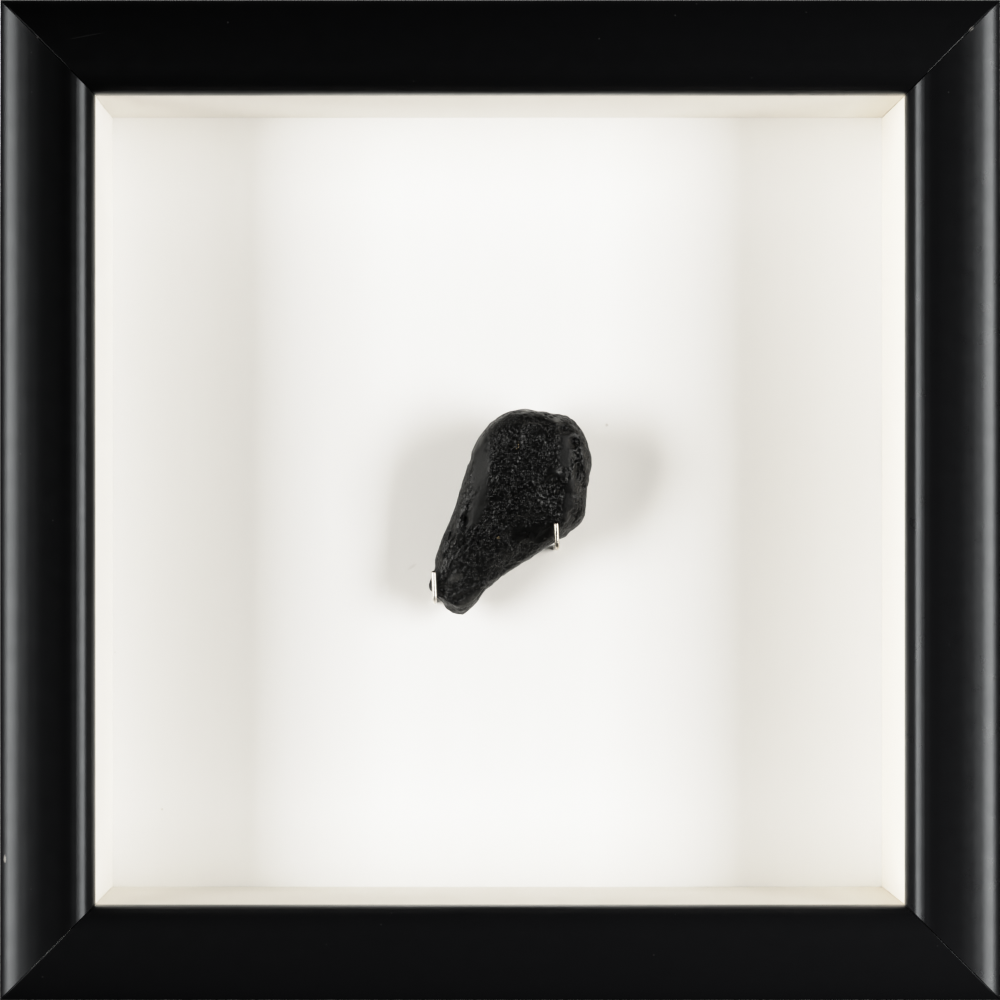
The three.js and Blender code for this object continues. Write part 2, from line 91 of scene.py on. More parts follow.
def apply_modifier(piece, kind, **settings):
    select_only(piece)
    modifier = piece.modifiers.new(kind.title(), kind)
    for setting, value in settings.items():
        setattr(modifier, setting, value)
    bpy.ops.object.modifier_apply(modifier=modifier.name)


def settle(piece, name, stands_for, smooth_within=14):
    """Names a finished piece and puts it in the place of its solids."""
    select_only(piece)
    bpy.ops.object.transform_apply(location=True, rotation=True, scale=True)
    bpy.ops.object.shade_smooth_by_angle(angle=math.radians(smooth_within))
    piece.name = piece.data.name = name
    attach(piece, "root")
    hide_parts(*stands_for)
    print(f"{name}: {len(piece.data.polygons)} faces")
    return piece


def copy_of_node(node):
    """A merged copy of a solid."""
    select_none()
    piece = bpy.data.objects.new(node + "_copy", nodes[node].data.copy())
    bpy.context.scene.collection.objects.link(piece)
    piece.data.materials.clear()
    select_only(piece)
    bpy.ops.object.mode_set(mode="EDIT")
    bpy.ops.mesh.select_all(action="SELECT")
    bpy.ops.mesh.remove_doubles(threshold=1e-6)
    bpy.ops.object.mode_set(mode="OBJECT")
    return piece


# %% [markdown]
# ## Camera
#
# The object is looked at straight on, from a little left of its middle and a little below it, at
# about arm's length. A long lens keeps the walls of the box narrow. The small shift slides the
# picture over the object without turning the camera, so that the frame stays square.

# %% Camera
EYE = Vector((-11.44, -691.05, 100.5)) * MM
FRAMING_WIDTH = 219.93 * MM  # what the picture spans at the lens's measuring distance
MEASURED_AT = 670 * MM

bpy.ops.object.camera_add(location=EYE, rotation=(math.radians(90), 0, 0))
camera = bpy.context.object
camera.name = "camera"
camera.data.sensor_width = 36
camera.data.lens = camera.data.sensor_width * MEASURED_AT / FRAMING_WIDTH
camera.data.shift_x, camera.data.shift_y = 0.052, 0.041
camera.data.clip_start = 0.01
bpy.context.scene.camera = camera
print(f"camera: {camera.data.lens:.1f} mm lens")

# %% [markdown]
# ## Light
#
# Two tall soft boxes stand left and right of the front, at 51 degrees. Their edges, seen past the
# rails, draw the soft upright bands on the board, and their reflections run down the moulding as
# thin bright lines. A fill in front of each adds light without a line of its own. One more on the
# left grazes the board. These three are kept out of reflections. The surroundings are nearly dark,
# which is what keeps the lacquer black. Three boxes behind and above light the sides and the back
# for anyone who walks round.


# %% Soft boxes
def soft_box(name, around, up, distance, size, power, colour=(1, 1, 1), aim=(0, 0, 0.11)):
    """A rectangular light, that many degrees round from the front and up from the floor."""
    a, e = math.radians(around), math.radians(up)
    offset = Vector((math.sin(a) * math.cos(e), -math.cos(a) * math.cos(e), math.sin(e)))
    place = Vector(aim) + offset * distance
    bpy.ops.object.light_add(type="AREA", location=place)
    lamp = bpy.context.object
    lamp.name = name
    lamp.rotation_euler = (-offset).to_track_quat("-Z", "Y").to_euler()
    lamp.data.shape = "RECTANGLE"
    lamp.data.size, lamp.data.size_y = size
    lamp.data.energy = power
    lamp.data.color = colour
    lamp.visible_camera = False
    return lamp


soft_box("soft_box_left", -51, 0, 1.1, (0.35, 0.8), 6.4)
soft_box("soft_box_right", 51, 0, 1.1, (0.35, 0.8), 6.55)
soft_box("fill_left", -51, 0, 1.1, (0.35, 0.4), 2.35).visible_glossy = False
soft_box("fill_right", 51, 0, 1.1, (0.35, 0.4), 2.25).visible_glossy = False
soft_box("soft_box_grazing", -80, 0, 1.3, (0.3, 0.6), 6.8).visible_glossy = False
soft_box("soft_box_behind_left", -140, 25, 1.3, (0.7, 0.7), 9)
soft_box("soft_box_behind_right", 140, 25, 1.3, (0.7, 0.7), 7)
soft_box("soft_box_above", 180, 65, 1.3, (0.8, 0.8), 5)

# %% [markdown]
# ## Print curve
#
# A print is not a straight record of light: its bright tones are squeezed together, so that white
# paper in half shade still looks nearly white. A curve on the view does the same. It leaves the
# blacks alone, lifts the middle, and flattens towards white. Green and blue fall back a little in
# the middle tones, which makes shaded paper warm and leaves lit paper neutral.

# %% View and its curve
PRINT_CURVE = [(0.02, 0.015), (0.06, 0.058), (0.12, 0.14), (0.3, 0.44), (0.5, 0.71), (0.6, 0.795), (0.7, 0.85), (0.85, 0.91), (1.0, 0.955)]
GREEN_CURVE = [(0.2, 0.198), (0.65, 0.634), (0.8, 0.787), (0.93, 0.93), (1.0, 1.0)]
BLUE_CURVE = [(0.05, 0.0485), (0.17, 0.163), (0.65, 0.61), (0.8, 0.765), (0.93, 0.918), (1.0, 0.995)]

view = bpy.context.scene.view_settings
view.view_transform = "Standard"
view.use_curve_mapping = True
curves = view.curve_mapping
curves.extend = "EXTRAPOLATED"
for channel, line in ((3, PRINT_CURVE), (1, GREEN_CURVE), (2, BLUE_CURVE)):
    points = curves.curves[channel].points
    points[-1].location = line[-1]
    for light_in, light_out in line[:-1]:
        points.new(light_in, light_out)
curves.update()
print("points on the curves:", [len(curve.points) for curve in curves.curves])

# %% [markdown]
# ## Node trees
#
# A finish is a small network of nodes. Writing one out in full takes many lines, so `add_node`
# makes a node, sets its options and fills or wires its inputs in one go.


# %% Building node trees
def add_node(tree, kind, inputs=None, **options):
    node = tree.nodes.new("ShaderNode" + kind)
    for option, value in options.items():
        setattr(node, option, value)
    for socket, value in (inputs or {}).items():
        if isinstance(value, bpy.types.NodeSocket):
            tree.links.new(value, node.inputs[socket])
        else:
            node.inputs[socket].default_value = value
    return node


def maths(tree, operation, *values):
    node = add_node(tree, "Math", dict(enumerate(values)), operation=operation)
    return node.outputs[0]


def spread(tree, value, low, high, to_low=0.0, to_high=1.0):
    """Stretches the stretch from low to high over to_low to to_high, and clips the rest."""
    inputs = {"Value": value, "From Min": low, "From Max": high, "To Min": to_low, "To Max": to_high}
    return add_node(tree, "MapRange", inputs).outputs["Result"]


def blend_colours(tree, share, first, second):
    node = add_node(tree, "Mix", data_type="RGBA")
    for socket, value in ((0, share), (6, first), (7, second)):
        if isinstance(value, bpy.types.NodeSocket):
            tree.links.new(value, node.inputs[socket])
        else:
            node.inputs[socket].default_value = value if socket == 0 else (*value, 1)
    return node.outputs[2]


def new_group(name, inputs, outputs):
    """An empty node group. Inputs and outputs are (name, kind, value) with kind Float or Vector."""
    tree = bpy.data.node_groups.new(name, "ShaderNodeTree")
    for direction, sockets in (("INPUT", inputs), ("OUTPUT", outputs)):
        for socket_name, kind, value in sockets:
            made = tree.interface.new_socket(
                name=socket_name, in_out=direction, socket_type="NodeSocket" + kind
            )
            if value is not None:
                made.default_value = value
    start = tree.nodes.new("NodeGroupInput")
    end = tree.nodes.new("NodeGroupOutput")
    return tree, start.outputs, end.inputs


def use_group(tree, group, **inputs):
    node = tree.nodes.new("ShaderNodeGroup")
    node.node_tree = group
    for socket, value in inputs.items():
        if isinstance(value, bpy.types.NodeSocket):
            tree.links.new(value, node.inputs[socket])
        else:
            node.inputs[socket].default_value = value
    return node.outputs


def new_finish(name, **fixed):
    """A material with one Principled shader, and the object's own coordinates to draw on it."""
    material = bpy.data.materials.new(name)
    material.use_nodes = True
    tree = material.node_tree
    shader = tree.nodes["Principled BSDF"]
    for socket, value in fixed.items():
        shader.inputs[socket.replace("_", " ")].default_value = value
    place = add_node(tree, "TexCoord").outputs["Object"]
    return material, tree, shader, place


# %% [markdown]
# ## Effects that several finishes share
#
# Paper, lacquer, glass and hardboard differ, but the same four things happen to all of them:
# their surface clouds softly, it has a grain that runs one way, it collects specks, and it gets
# nicked. Each effect is a group, made once and then used with other numbers in each finish.

# %% Clouding: soft patches
clouding, start, end = new_group(
    "Clouding",
    [("Place", "Vector", None), ("Patches per metre", "Float", 100.0), ("Roughness", "Float", 0.5)],
    [("Cloud", "Float", None)],
)
patches = add_node(
    clouding,
    "TexNoise",
    {"Vector": start["Place"], "Scale": start["Patches per metre"], "Roughness": start["Roughness"], "Detail": 4.0},
)
clouding.links.new(spread(clouding, patches.outputs["Fac"], 0.3, 0.7), end["Cloud"])
print("group:", clouding.name)

# %% Grain: noise pulled out along one direction
grain, start, end = new_group(
    "Grain",
    [("Place", "Vector", None), ("Lines per metre", "Vector", (1000.0, 1000.0, 50.0))],
    [("Shade", "Float", None), ("Height", "Float", None)],
)
pulled = add_node(
    grain, "VectorMath", {0: start["Place"], 1: start["Lines per metre"]}, operation="MULTIPLY"
).outputs[0]
broad = add_node(grain, "TexNoise", {"Vector": pulled, "Scale": 0.35, "Detail": 3.0}).outputs["Fac"]
fine = add_node(grain, "TexNoise", {"Vector": pulled, "Scale": 1.6, "Detail": 2.0}).outputs["Fac"]
grain.links.new(spread(grain, broad, 0.25, 0.75), end["Shade"])
grain.links.new(maths(grain, "ADD", broad, fine), end["Height"])
print("group:", grain.name)

# %% Specks: a dot in some of the cells of a Voronoi pattern
specks, start, end = new_group(
    "Specks",
    [
        ("Place", "Vector", None),
        ("Cells per metre", "Float", 300.0),
        ("Size", "Float", 0.2),
        ("Share", "Float", 0.2),
    ],
    [("Mask", "Float", None)],
)
cells = add_node(specks, "TexVoronoi", {"Vector": start["Place"], "Scale": start["Cells per metre"]})
luck = add_node(specks, "SeparateColor", {0: cells.outputs["Color"]}).outputs[0]
chosen = maths(specks, "LESS_THAN", luck, start["Share"])
inside = maths(specks, "SUBTRACT", 1.0, maths(specks, "DIVIDE", cells.outputs["Distance"], start["Size"]))
soft_dot = spread(specks, inside, 0.0, 0.4)
specks.links.new(maths(specks, "MULTIPLY", chosen, soft_dot), end["Mask"])
print("group:", specks.name)

# %% Nick: one ragged mark at a known place
nick, start, end = new_group(
    "Nick",
    [
        ("Place", "Vector", None),
        ("Centre", "Vector", (0.0, 0.0, 0.0)),
        ("Reach", "Vector", (0.001, 0.001, 0.001)),
        ("Tilt", "Vector", (0.0, 0.0, 0.0)),
    ],
    [("Mask", "Float", None)],
)
from_centre = add_node(
    nick, "VectorMath", {0: start["Place"], 1: start["Centre"]}, operation="SUBTRACT"
).outputs[0]
turned = add_node(
    nick, "VectorRotate", {"Vector": from_centre, "Rotation": start["Tilt"]}, rotation_type="EULER_XYZ"
).outputs[0]
measured = add_node(nick, "VectorMath", {0: turned, 1: start["Reach"]}, operation="DIVIDE").outputs[0]
distance = add_node(nick, "VectorMath", {0: measured}, operation="LENGTH").outputs["Value"]
ragged = add_node(nick, "TexNoise", {"Vector": start["Place"], "Scale": 2500.0}).outputs["Fac"]
edge = maths(nick, "ADD", distance, maths(nick, "MULTIPLY", ragged, 0.8))
nick.links.new(spread(nick, edge, 1.4, 1.0), end["Mask"])
print("group:", nick.name)

# %% [markdown]
# ## Black lacquer
#
# The moulding is wood under a satin black lacquer. Nearly all that is seen of it is reflection, so
# the colour is close to nothing and the roughness does the work: it sets how far the bright lines
# of the soft boxes spread. A trace of unevenness keeps the lines from looking ruled, and a little
# dust and three nicks at the corners show that it has been handled. Towards the right and the
# bottom the black is painted a faint bluish grey, a painted reflection of the room.

# %% Black lacquer
lacquer, tree, shader, place = new_finish("black_lacquer", IOR=1.5, Specular_Tint=(0.93, 0.96, 1, 1))
uneven = use_group(tree, clouding, Place=place, **{"Patches per metre": 260.0})["Cloud"]
dust = use_group(
    tree, specks, Place=place, **{"Cells per metre": 420.0, "Size": 0.09, "Share": 0.07}
)["Mask"]
marks = [
    ((102.7, -25.5, 212.2), (0.9, 2.5, 0.45), 45),
    ((-100.9, -25.5, 210.4), (0.35, 2.5, 0.3), -45),
    ((-108.3, -25.0, 31.0), (0.35, 2.5, 1.0), 0),
]
worn = 0.0
for centre, reach, tilt in marks:
    mark = use_group(
        tree,
        nick,
        Place=place,
        Centre=[v * MM for v in centre],
        Reach=[v * MM for v in reach],
        Tilt=(0, math.radians(tilt), 0),
    )["Mask"]
    worn = maths(tree, "MAXIMUM", worn, mark)
scratch = use_group(
    tree,
    nick,
    Place=place,
    Centre=(-90.4 * MM, -26.8 * MM, 210.6 * MM),
    Reach=(4.6 * MM, 3 * MM, 0.12 * MM),
    Tilt=(0, math.radians(11), 0),
)["Mask"]
dusty = maths(tree, "ADD", maths(tree, "MULTIPLY", dust, 0.2), maths(tree, "MULTIPLY", scratch, 0.07))
across, _, up = add_node(tree, "SeparateXYZ", {0: place}).outputs
towards_right = spread(tree, across, -HALF, HALF)
towards_floor = spread(tree, up, 2 * HALF, 0.0)
# Painted reflection: towards the right and the bottom the black is lifted to a faint bluish grey, standing in for
# the room reflected in the lacquer.
painted_sheen_and_floor_fade = maths(tree, "ADD", maths(tree, "MULTIPLY", towards_right, 0.6), maths(tree, "MULTIPLY", towards_floor, 0.4))
surface_colour = blend_colours(tree, painted_sheen_and_floor_fade, (0.0, 0.0, 0.0), (0.0095, 0.0096, 0.0107))
black = blend_colours(tree, dusty, surface_colour, (0.12, 0.12, 0.12))
tree.links.new(blend_colours(tree, worn, black, (0.2, 0.19, 0.18)), shader.inputs["Base Color"])
gloss = spread(tree, uneven, 0.0, 1.0, 0.29, 0.32)
gloss = maths(tree, "SUBTRACT", gloss, maths(tree, "MULTIPLY", towards_right, 0.02))
tree.links.new(maths(tree, "ADD", gloss, maths(tree, "MULTIPLY", dusty, 0.5)), shader.inputs["Roughness"])
ripple = add_node(tree, "Bump", {"Height": uneven, "Strength": 0.25, "Distance": 0.00004})
tree.links.new(ripple.outputs["Normal"], shader.inputs["Normal"])
print("finish:", lacquer.name)

# %% [markdown]
# ## The moulding
#
# A frame is made from one long length of moulding, sawn at 45 degrees into four rails. It is
# modelled the same way: the section is drawn once, extruded into a rail, and its ends are cut off
# on the slant with bisect. The other three rails are copies, turned about the middle of the frame.
#
# The section follows a smooth curve through the points that were measured on the face. The curve
# matters more than anything else here, since a polished edge shows every change of slope.

# %% Section of the moulding
RAIL_WIDTH, LIP_BACK, RABBET_WALL = 20.5, 6.5, 15.0  # mm
RAIL_DEPTH = (RAIL_BACK - FRONT) / MM
FACE_POINTS = [  # in from the outer edge, and back from the crown
    (0, 3.0),
    (0.1, 2.74),
    (0.3, 2.52),
    (0.66, 2.27),
    (1.3, 1.92),
    (2.2, 1.535),
    (3.55, 1.116),
    (4.9, 0.802),
    (6.85, 0.45),
    (9.5, 0.141),
    (13.4, 0),
    (15.35, 0.195),
    (16.65, 0.568),
    (17.3, 0.824),
    (17.9, 1.116),
    (18.55, 1.498),
    (19.1, 1.928),
    (19.7, 2.538),
    (20.05, 2.927),
    (20.35, 3.447),
    (20.5, 4.15),
]
FACE_STEPS = 5


def smooth_line(points, steps):
    """A Catmull-Rom curve through the points."""
    line = []
    ends = [points[0], *points, points[-1]]
    for p0, p1, p2, p3 in zip(ends, ends[1:], ends[2:], ends[3:]):
        for step in range(steps):
            t = step / steps
            weights = (
                -0.5 * t + t * t - 0.5 * t**3,
                1 - 2.5 * t * t + 1.5 * t**3,
                0.5 * t + 2 * t * t - 1.5 * t**3,
                -0.5 * t * t + 0.5 * t**3,
            )
            corners = zip(p0, p1, p2, p3)
            line.append(tuple(sum(w * c for w, c in zip(weights, cs)) for cs in corners))
    return [*line, points[-1]]


face_line = [(across, max(behind, 0)) for across, behind in smooth_line(FACE_POINTS, FACE_STEPS)]
section = [
    *face_line,
    (RAIL_WIDTH, LIP_BACK - 0.1),
    (RAIL_WIDTH - 0.1, LIP_BACK),
    (RABBET_WALL, LIP_BACK),
    (RABBET_WALL, RAIL_DEPTH - 0.3),
    (RABBET_WALL - 0.3, RAIL_DEPTH),
    (0.4, RAIL_DEPTH),
    (0, RAIL_DEPTH - 0.4),
]
print(f"section: {len(section)} corners")


# %% One rail, then four
MITRE_ROUNDING = 0.06 * MM
MITRE_GAP = 0.1 * MM  # what each end stays short of its neighbour


def bottom_rail():
    select_none()
    bpy.ops.mesh.primitive_circle_add(vertices=len(section), radius=MM, fill_type="NGON")
    rail = bpy.context.object
    for corner, (across, behind) in zip(rail.data.vertices, section):
        corner.co = (-HALF, FRONT + behind * MM, across * MM)
    bpy.ops.object.mode_set(mode="EDIT")
    bpy.ops.mesh.select_all(action="SELECT")
    bpy.ops.mesh.extrude_region_move(TRANSFORM_OT_translate={"value": (2 * HALF, 0, 0)})
    for side in (-1, 1):
        bpy.ops.mesh.select_all(action="SELECT")
        bpy.ops.mesh.bisect(
            plane_co=(side * (HALF - MITRE_GAP), 0, 0), plane_no=(side, 0, 1), use_fill=True, clear_outer=True
        )
    bpy.ops.mesh.select_all(action="SELECT")
    bpy.ops.mesh.normals_make_consistent(inside=False)
    bpy.ops.mesh.select_all(action="DESELECT")
    bpy.ops.object.mode_set(mode="OBJECT")
    round_mitres(rail)
    return rail


def round_mitres(rail):
    """Breaks the sharp edge round each sawn end, so that a fine groove shows where rails meet."""
    mesh = rail.data
    on_cut = [abs(abs(v.co.x) + v.co.z - HALF + MITRE_GAP) < 1e-6 for v in mesh.vertices]
    for edge in mesh.edges:
        edge.select = all(on_cut[i] for i in edge.vertices)
    bpy.ops.object.mode_set(mode="EDIT")
    bpy.ops.mesh.select_mode(type="EDGE")
    bpy.ops.mesh.bevel(offset=MITRE_ROUNDING, segments=2, affect="EDGES")
    bpy.ops.mesh.select_mode(type="VERT")
    bpy.ops.object.mode_set(mode="OBJECT")


rails = [bottom_rail()]
for _ in range(3):
    select_only(rails[-1])
    bpy.ops.object.duplicate()
    bpy.ops.transform.rotate(value=math.radians(90), orient_axis="Y", center_override=(0, 0, HALF))
    bpy.ops.object.transform_apply(location=True, rotation=True, scale=True)
    rails.append(bpy.context.object)
for rail in rails:
    rail.data.materials.append(lacquer)
    corners = np.array([v.co for v in rail.data.vertices])
    x, z = (corners.min(0) + corners.max(0))[[0, 2]] / 2
    z -= HALF
    side = ("right" if x > 0 else "left") if abs(x) > abs(z) else ("top" if z > 0 else "bottom")
    settle(rail, f"lacquered_rail_{side}", [f"frame_rail_{side}"], smooth_within=10)

# %% [markdown]
# ## Papers of the box
#
# The walls and the back of the box are foam board faced with matt paper: cream on the walls and
# white behind the stone. Paper is made in a web, so its faint shading runs one way in long
# streaks. The grain group draws them, at a strength that is only just seen. The wall on the right
# is painted darker and warmer, as painted shade, and the one at the top lighter, as painted light.


# %% Matt papers
def paper(name, colour, shaded, lines):
    finish, tree, shader, place = new_finish(name, Roughness=0.85)
    streaks = use_group(tree, grain, Place=place, **{"Lines per metre": lines})
    tooth = use_group(tree, clouding, Place=place, **{"Patches per metre": 2200.0, "Roughness": 0.7})
    colour_now = blend_colours(tree, streaks["Shade"], shaded, colour)
    height = maths(tree, "ADD", streaks["Height"], maths(tree, "MULTIPLY", tooth["Cloud"], 0.7))
    relief = add_node(tree, "Bump", {"Height": height, "Strength": 0.25, "Distance": 0.00003})
    tree.links.new(relief.outputs["Normal"], shader.inputs["Normal"])
    return finish, tree, shader, place, colour_now


cream_paper, tree, shader, place, colour = paper(
    "cream_paper", (0.937, 0.915, 0.869), (0.922, 0.896, 0.847), (300, 60, 300)
)
across, _, up = add_node(tree, "SeparateXYZ", {0: place}).outputs
# Painted shade on the right wall, which is darker and warmer, and painted light on the top wall, which is lighter.
painted_shade_right = spread(tree, across, 80 * MM, 88 * MM)  # the strip on the right
painted_light_top = spread(tree, up, HALF + 80 * MM, HALF + 88 * MM)  # the strip at the top
colour = blend_colours(tree, painted_light_top, colour, (0.965, 0.94, 0.9))
colour = blend_colours(tree, painted_shade_right, colour, (0.875, 0.833, 0.765))
tree.links.new(colour, shader.inputs["Base Color"])
white_paper, tree, shader, place, colour = paper(
    "white_paper", (0.95, 0.946, 0.932), (0.937, 0.933, 0.918), (420, 420, 14)
)
scuff = use_group(
    tree,
    nick,
    Place=place,
    Centre=(-19.8 * MM, BOARD_FACE, 94.5 * MM),
    Reach=(1.3 * MM, MM, 0.35 * MM),
    Tilt=(0, math.radians(35), 0),
)["Mask"]
speck = use_group(
    tree, nick, Place=place, Centre=(25.4 * MM, BOARD_FACE, 127.4 * MM), Reach=[0.45 * MM] * 3
)["Mask"]
lint = use_group(
    tree, specks, Place=place, **{"Cells per metre": 90.0, "Size": 0.03, "Share": 0.1}
)["Mask"]
dirt = maths(tree, "ADD", maths(tree, "MULTIPLY", scuff, 0.12), maths(tree, "MULTIPLY", speck, 0.3))
dirt = maths(tree, "ADD", dirt, maths(tree, "MULTIPLY", lint, 0.25))
tree.links.new(blend_colours(tree, dirt, colour, (0.35, 0.32, 0.28)), shader.inputs["Base Color"])
print("finishes:", cream_paper.name, white_paper.name)

# %% [markdown]
# ## Linings and backing board
#
# Four strips line the walls, and a square board closes the back. Each starts as a cube, scaled to
# its solid's box, and gets its edges rounded by a bevel: folded paper has no razor edge, and the
# rounding is what draws the faint line along each joint. The solids keep a third of a millimetre
# between them, and here the strips are let out to meet the board and one another.

# %% Boards from cubes
PAPER_EDGE = 0.18 * MM
LET_OUT = 0.27 * MM


def board_between(low, high, edge):
    select_none()
    middle, size = (low + high) / 2, high - low
    bpy.ops.mesh.primitive_cube_add(size=1, location=middle, scale=size)
    board = bpy.context.object
    bpy.ops.object.transform_apply(location=True, rotation=True, scale=True)
    apply_modifier(board, "BEVEL", width=edge, segments=3, limit_method="ANGLE")
    return board


for side, grows in (("top", (0, 1, 0)), ("bottom", (0, 1, 0)), ("left", (0, 1, 1)), ("right", (0, 1, 1))):
    low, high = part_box(f"lining_{side}")
    let_out = Vector(grows) * LET_OUT
    strip = board_between(low - let_out * Vector((0, 0, 1)).dot(Vector(grows)), high + let_out, PAPER_EDGE)
    strip.data.materials.append(cream_paper)
    settle(strip, f"papered_lining_{side}", [f"lining_{side}"])

# %% Backing board with a tight hole for each wire
HEELS = [(-14.45, 86.7), (13.3, 98.9)]  # x and z in mm of where each wire goes through
WIRE_RADIUS = 0.55 * MM

backing = board_between(*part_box("backing_board"), PAPER_EDGE)
for x, z in HEELS:
    select_none()
    bpy.ops.mesh.primitive_cylinder_add(
        vertices=40,
        radius=WIRE_RADIUS * 1.06,
        depth=20 * MM,
        location=(x * MM, BOARD_FACE, z * MM),
        rotation=(math.radians(90), 0, 0),
    )
    drill = bpy.context.object
    apply_modifier(backing, "BOOLEAN", operation="DIFFERENCE", object=drill, solver="EXACT")
    bpy.data.objects.remove(drill)
backing.data.materials.append(white_paper)
settle(backing, "mounting_board", ["backing_board"])

# %% [markdown]
# ## Natural glass
#
# A tektite is glass that cooled in flight. Fresh glass would be mirror bright; this one has been
# etched in the ground, so it is satin, nearly black, and covered in small round pits whose walls
# catch the light. The pits that can be told apart are modelled below. The finish adds what is
# smaller still, and lets the bare patches between the pitted fields stay smoother.

# %% Natural glass
glass, tree, shader, place = new_finish("natural_glass", IOR=1.5, Specular_IOR_Level=0.52)
bare = add_node(tree, "Attribute", attribute_name="bare").outputs["Fac"]
worn = add_node(tree, "Attribute", attribute_name="worn").outputs["Fac"]
steep = add_node(tree, "Attribute", attribute_name="steep").outputs["Fac"]
frosted = add_node(tree, "Attribute", attribute_name="frosted").outputs["Fac"]
etching = use_group(tree, clouding, Place=place, **{"Patches per metre": 1900.0, "Roughness": 0.65})["Cloud"]
patchy = use_group(tree, clouding, Place=place, **{"Patches per metre": 170.0})["Cloud"]
crumbs = use_group(
    tree, specks, Place=place, **{"Cells per metre": 2300.0, "Size": 0.4, "Share": 0.4}
)["Mask"]
surface_colour = blend_colours(tree, patchy, (0.001, 0.001, 0.001), (0.0022, 0.0022, 0.0021))
across = add_node(tree, "SeparateXYZ", {0: place}).outputs[0]
# Worn patches are given a lighter colour, the more so towards the left.
worn_lighter_leftwards = maths(tree, "MULTIPLY", worn, spread(tree, across, 0.0, 10 * MM, 0.85, 0.0))
surface_colour = blend_colours(tree, worn_lighter_leftwards, surface_colour, (0.007, 0.007, 0.0065))
surface_colour = blend_colours(tree, steep, surface_colour, (0.016, 0.0155, 0.015))
frost = maths(tree, "MULTIPLY", frosted, spread(tree, etching, 0.2, 0.7, 0.35, 1.0))
surface_colour = blend_colours(tree, frost, surface_colour, (0.05, 0.049, 0.046))
SOIL_SPOTS = [((4.1, 122.0), (0.8, 1.1)), ((5.8, 107.3), (0.35, 0.35)), ((0.1, 101.0), (0.9, 0.9))]
soiled = 0.0
for (x, z), (wide, high) in SOIL_SPOTS:  # place and reach in mm
    spot = use_group(
        tree, nick, Place=place, Centre=(x * MM, 0, z * MM), Reach=(wide * MM, 30 * MM, high * MM)
    )["Mask"]
    soiled = maths(tree, "MAXIMUM", soiled, maths(tree, "MULTIPLY", spot, crumbs))
tree.links.new(blend_colours(tree, soiled, surface_colour, (0.3, 0.24, 0.15)), shader.inputs["Base Color"])
pitted_gloss = spread(tree, etching, 0.0, 1.0, 0.23, 0.36)
gloss = add_node(tree, "Mix", {0: worn, 2: pitted_gloss, 3: 0.58}, data_type="FLOAT").outputs[0]
gloss = add_node(tree, "Mix", {0: steep, 2: gloss, 3: 0.3}, data_type="FLOAT").outputs[0]
tree.links.new(gloss, shader.inputs["Roughness"])
pocks = use_group(
    tree, specks, Place=place, **{"Cells per metre": 2000.0, "Size": 0.6, "Share": 0.55}
)["Mask"]
pocked = maths(tree, "MULTIPLY", pocks, spread(tree, bare, 0.3, 1.0, 1.0, 0.0))
height = maths(tree, "SUBTRACT", maths(tree, "MULTIPLY", etching, 0.45), pocked)
depth = spread(tree, bare, 0.0, 1.0, 0.75, 0.5)
relief = add_node(tree, "Bump", {"Height": height, "Strength": depth, "Distance": 0.00012})
tree.links.new(relief.outputs["Normal"], shader.inputs["Normal"])
print("finish:", glass.name)

# %% [markdown]
# ## The tektite
#
# The solid already has the outline, the flats and the large hollows. A copy of it is merged and
# subdivided until its faces are a fifth of a millimetre wide, which is fine enough to hold real
# pits. Its corners are pushed out first, so that the rounding keeps the outline where it was. A few
# hundred wide, shallow dents and a few thousand pits are then sown on it with a fixed seed, each
# pit a small bowl with a crisp rim. They are not sown evenly: the flanks and some patches were left
# bare, and those are listed below, as rounded bars seen from the front.

# %% A fine copy of the stone
STONE_X, STONE_Z = 3.85, 108.7  # mm, the middle that the lists below are measured from

def corners_and_normals(mesh):
    count = len(mesh.vertices)
    co, no = np.zeros(count * 3), np.zeros(count * 3)
    mesh.vertices.foreach_get("co", co)
    mesh.vertices.foreach_get("normal", no)
    return co.reshape(-1, 3) / MM, no.reshape(-1, 3)


def place_corners(mesh, corners):
    mesh.vertices.foreach_set("co", (corners * MM).ravel())
    mesh.update()


def subdivide_in_place(piece, levels):
    """Subdividing pulls a surface in. Its old corners are pushed out first by as much."""
    wanted = corners_and_normals(piece.data)[0]
    trial = piece.copy()
    trial.data = piece.data.copy()
    bpy.context.scene.collection.objects.link(trial)
    apply_modifier(trial, "SUBSURF", levels=1)
    pulled_to = corners_and_normals(trial.data)[0][: len(wanted)]
    bpy.data.objects.remove(trial)
    place_corners(piece.data, wanted + (wanted - pulled_to))
    apply_modifier(piece, "SUBSURF", levels=levels)
    left_over = corners_and_normals(piece.data)[0][: len(wanted)] - wanted
    print(f"largest pull left: {np.abs(left_over).max():.3f} mm")


stone = copy_of_node("tektite")
subdivide_in_place(stone, 2)
print(f"stone: {len(stone.data.polygons)} faces")

# %% Where the stone is bare
BARE_PATCHES = [  # from, to (right and up from the middle, mm), half width, how worn
    ((-7.9, 14.5), (-8.1, 0.5), 1.8, 1.0),  # left flank
    ((-8.1, 0.5), (-9.9, -3.4), 1.6, 1.0),
    ((2.0, 21.5), (9.5, 19.3), 1.2, 0.4),  # rim of the wide end
    ((11.3, 15.0), (11.3, 9.5), 1.3, 1.0),  # right patch
    ((7.9, 7.4), (10.9, 6.6), 1.0, 0.2),  # knob above the large dent
    ((12.8, 5.0), (11.6, -3.0), 1.2, 0.7),
    ((1.2, -6.6), (6.5, -6.7), 2.4, 0.0),  # dark hollow by the right wire
    ((-6.0, -18.0), (8.0, -9.2), 0.7, 0.2),  # long lower edge
    ((-14.9, -16.6), (-13.0, -16.4), 0.7, 0.9),
    ((-13.0, -23.0), (-8.0, -20.0), 0.8, 0.5),  # broken end
]

